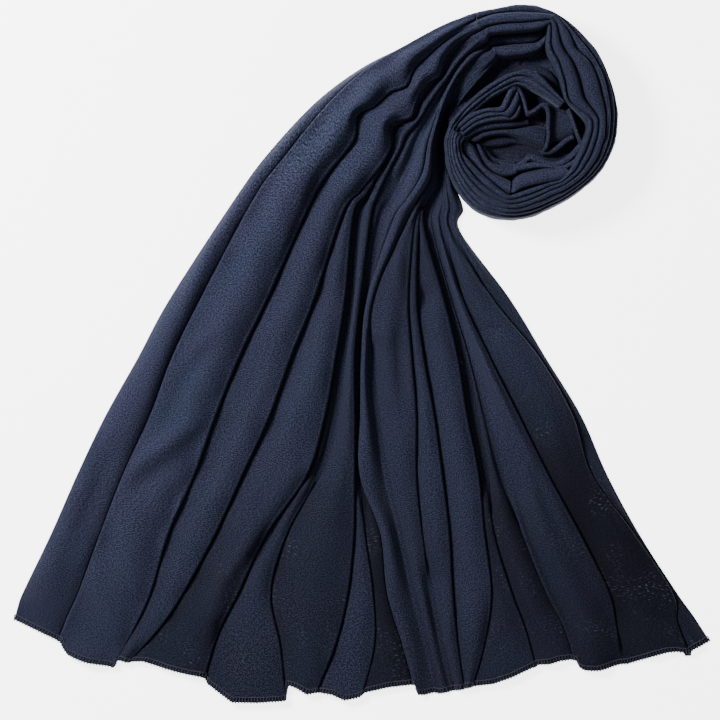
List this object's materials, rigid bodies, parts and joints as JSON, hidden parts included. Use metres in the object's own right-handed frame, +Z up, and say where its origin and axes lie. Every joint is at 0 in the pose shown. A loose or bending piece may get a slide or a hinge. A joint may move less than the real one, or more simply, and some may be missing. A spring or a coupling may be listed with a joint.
{
  "type": "hijab headscarf, laid flat in a pleated fan with its end wound in a coil",
  "caption": "Plain dark jersey headscarf laid flat: one overlocked edge spread in a pleated fan, gathered to a neck, the rest wound in a soft coil.",
  "frame": {"origin": "middle of the outline, on the surface that the scarf lies on", "axes": "+Z up, the spread hem towards -Y, the coil towards +X and +Y"},
  "size_m": [0.5932, 0.595, 0.0451],
  "materials": {
    "jersey": "dark navy fine jersey, matt with a slight sheen"
  },
  "bodies": {
    "root": {"spread_fan": "jersey", "gathered_neck": "jersey", "coil_outer_turn": "jersey", "coil_inner_turn": "jersey", "coil_heart": "jersey"}
  },
  "joints": []
}
